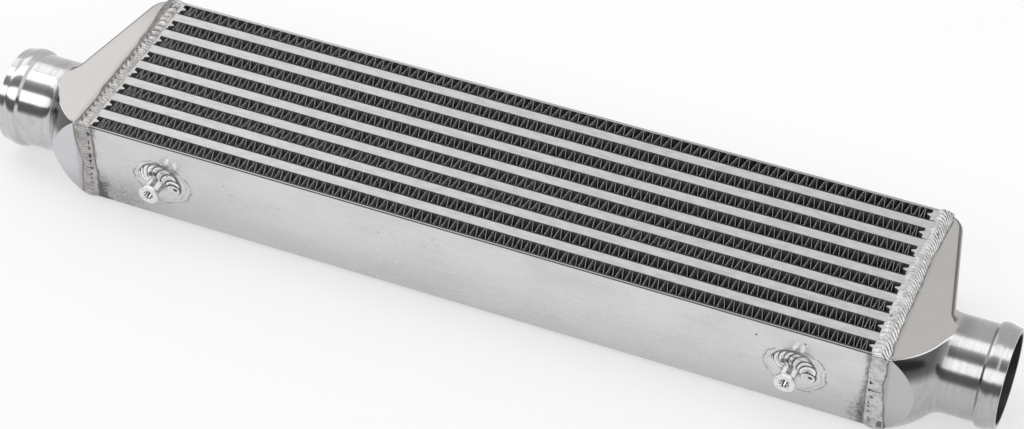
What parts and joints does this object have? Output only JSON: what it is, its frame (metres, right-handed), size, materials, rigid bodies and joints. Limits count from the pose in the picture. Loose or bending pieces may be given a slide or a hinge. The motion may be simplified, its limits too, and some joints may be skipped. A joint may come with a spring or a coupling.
{
  "type": "intercooler",
  "caption": "Front-mount charge-air cooler: bar-and-plate core of folded fins between two hollow cast end tanks with beaded round hose spigots, and tapped bosses on the front plate.",
  "frame": {"origin": "centre of the core's lower face, the plane z = 0 on which the cooling air leaves the core", "axes": "+X along the core from the left tank to the right tank; +Y across the stack of rows, from the plate with the bosses to the plain back plate; +Z through the core, from its lower face to its upper face"},
  "size_m": [0.6984, 0.1566, 0.0685],
  "materials": {
    "cast_tank": "satin cast aluminium, spigots polished",
    "side_plate": "satin rolled sheet with fine lengthwise grain",
    "cooling_fin": "thin rolled foil, bright at the edges",
    "charge_fin": "thin rolled foil",
    "parting_sheet": "satin rolled sheet",
    "closing_bar": "satin extruded bar with a fine grain",
    "boss": "turned and polished",
    "seam_weld": "rippled weld bead, bright satin",
    "boss_weld": "rippled weld bead, bright satin"
  },
  "bodies": {
    "root": {"tank_left": "cast_tank", "tank_right": "cast_tank", "side_plate_front": "side_plate", "side_plate_back": "side_plate", "cooling_fin_1": "cooling_fin", "cooling_fin_2": "cooling_fin", "cooling_fin_3": "cooling_fin", "cooling_fin_4": "cooling_fin", "cooling_fin_5": "cooling_fin", "cooling_fin_6": "cooling_fin", "cooling_fin_7": "cooling_fin", "cooling_fin_8": "cooling_fin", "charge_fin_1": "charge_fin", "charge_fin_2": "charge_fin", "charge_fin_3": "charge_fin", "charge_fin_4": "charge_fin", "charge_fin_5": "charge_fin", "charge_fin_6": "charge_fin", "charge_fin_7": "charge_fin", "parting_sheet_01": "parting_sheet", "parting_sheet_02": "parting_sheet", "parting_sheet_03": "parting_sheet", "parting_sheet_04": "parting_sheet", "parting_sheet_05": "parting_sheet", "parting_sheet_06": "parting_sheet", "parting_sheet_07": "parting_sheet", "parting_sheet_08": "parting_sheet", "parting_sheet_09": "parting_sheet", "parting_sheet_10": "parting_sheet", "parting_sheet_11": "parting_sheet", "parting_sheet_12": "parting_sheet", "parting_sheet_13": "parting_sheet", "parting_sheet_14": "parting_sheet", "face_bar_top_1": "closing_bar", "face_bar_top_2": "closing_bar", "face_bar_top_3": "closing_bar", "face_bar_top_4": "closing_bar", "face_bar_top_5": "closing_bar", "face_bar_top_6": "closing_bar", "face_bar_top_7": "closing_bar", "face_bar_bottom_1": "closing_bar", "face_bar_bottom_2": "closing_bar", "face_bar_bottom_3": "closing_bar", "face_bar_bottom_4": "closing_bar", "face_bar_bottom_5": "closing_bar", "face_bar_bottom_6": "closing_bar", "face_bar_bottom_7": "closing_bar", "end_bars_left": "closing_bar", "end_bars_right": "closing_bar", "threaded_boss_left": "boss", "threaded_boss_right": "boss", "tank_weld_left": "seam_weld", "tank_weld_right": "seam_weld", "boss_weld_left": "boss_weld", "boss_weld_right": "boss_weld"}
  },
  "joints": []
}
